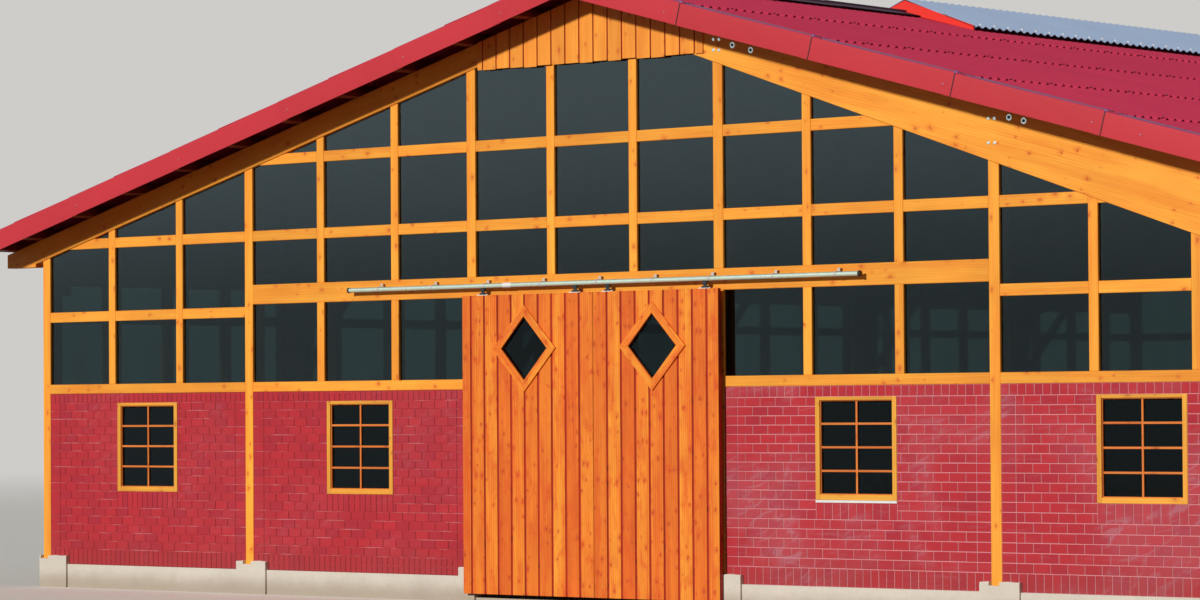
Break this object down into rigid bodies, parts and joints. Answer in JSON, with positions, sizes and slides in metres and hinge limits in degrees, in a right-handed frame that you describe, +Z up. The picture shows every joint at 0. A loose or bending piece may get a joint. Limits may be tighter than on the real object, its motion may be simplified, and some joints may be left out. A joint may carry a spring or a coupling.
{
  "type": "indoor riding arena",
  "caption": "Timber gable riding hall with brick infill, glazed front, corrugated roof with a raised light ridge and a pair of sliding doors.",
  "frame": {"origin": "middle of the footprint, on the ground", "axes": "+Z up, -Y out of the front gable, +X to the right of the front"},
  "size_m": [24.09, 31.2, 8.6771],
  "materials": {
    "concrete": "pale cast concrete, weathered",
    "red_brick": "red facing brick in light mortar",
    "pane_glass": "clear window glass",
    "red_fibre_cement": "dark red corrugated fibre cement",
    "dark_ridge_cap": "dark red-brown rounded cap",
    "translucent_sheet": "milky translucent corrugated sheet",
    "red_end_board": "bright red painted board",
    "galvanised_steel": "galvanised steel, dull",
    "stained_door_boards": "red-orange stained softwood boards",
    "stained_timber": "honey-orange stained timber",
    "weathered_boards": "orange boards with uneven ends",
    "inner_glulam": "brown-red glued laminated timber",
    "lamp_housing": "black lamp housing"
  },
  "bodies": {
    "hall": {"door_beam": "stained_timber", "door_threshold": "concrete", "door_track": "galvanised_steel", "eave_boards": "stained_timber", "frame_footings": "concrete", "frame_legs": "inner_glulam", "front_brick_panels": "red_brick", "front_glass": "pane_glass", "front_glazing_bars": "stained_timber", "front_left_rafter": "stained_timber", "front_plinth": "concrete", "front_right_rafter": "stained_timber", "gable_boards": "weathered_boards", "gable_posts": "stained_timber", "knee_braces": "inner_glulam", "left_frame_rafters": "inner_glulam", "left_roof_sheets": "red_fibre_cement", "left_verge_trims": "red_fibre_cement", "light_ridge_ends": "red_end_board", "light_ridge_kerbs": "inner_glulam", "light_ridge_sheets": "translucent_sheet", "pier_heads": "concrete", "purlins": "inner_glulam", "rear_brick_panels": "red_brick", "rear_glass": "pane_glass", "rear_glazing_bars": "stained_timber", "rear_left_rafter": "stained_timber", "rear_plinth": "concrete", "rear_right_rafter": "stained_timber", "ridge_caps": "dark_ridge_cap", "right_frame_rafters": "inner_glulam", "right_roof_sheets": "red_fibre_cement", "right_verge_trims": "red_fibre_cement", "side_brick_walls": "red_brick", "side_plinths": "concrete", "side_wall_framing": "stained_timber", "side_wall_glass": "pane_glass", "sill_beams": "stained_timber", "track_brackets": "galvanised_steel", "wall_lamp": "lamp_housing", "window_frames": "stained_timber", "window_glass": "pane_glass"},
    "left_leaf": {"left_diamond_glass": "pane_glass", "left_diamond_trim": "stained_timber", "left_door_hangers": "galvanised_steel", "left_leaf_boards": "stained_door_boards", "left_leaf_frame": "stained_timber"},
    "right_leaf": {"right_diamond_glass": "pane_glass", "right_diamond_trim": "stained_timber", "right_door_hangers": "galvanised_steel", "right_leaf_boards": "stained_door_boards", "right_leaf_frame": "stained_timber"}
  },
  "joints": [
    {"name": "left_leaf_slide", "type": "slide", "parent": "hall", "child": "left_leaf", "axis": [-1, 0, 0], "range_m": [0, 2.25]},
    {"name": "right_leaf_slide", "type": "slide", "parent": "hall", "child": "right_leaf", "axis": [1, 0, 0], "range_m": [0, 2.25]}
  ]
}
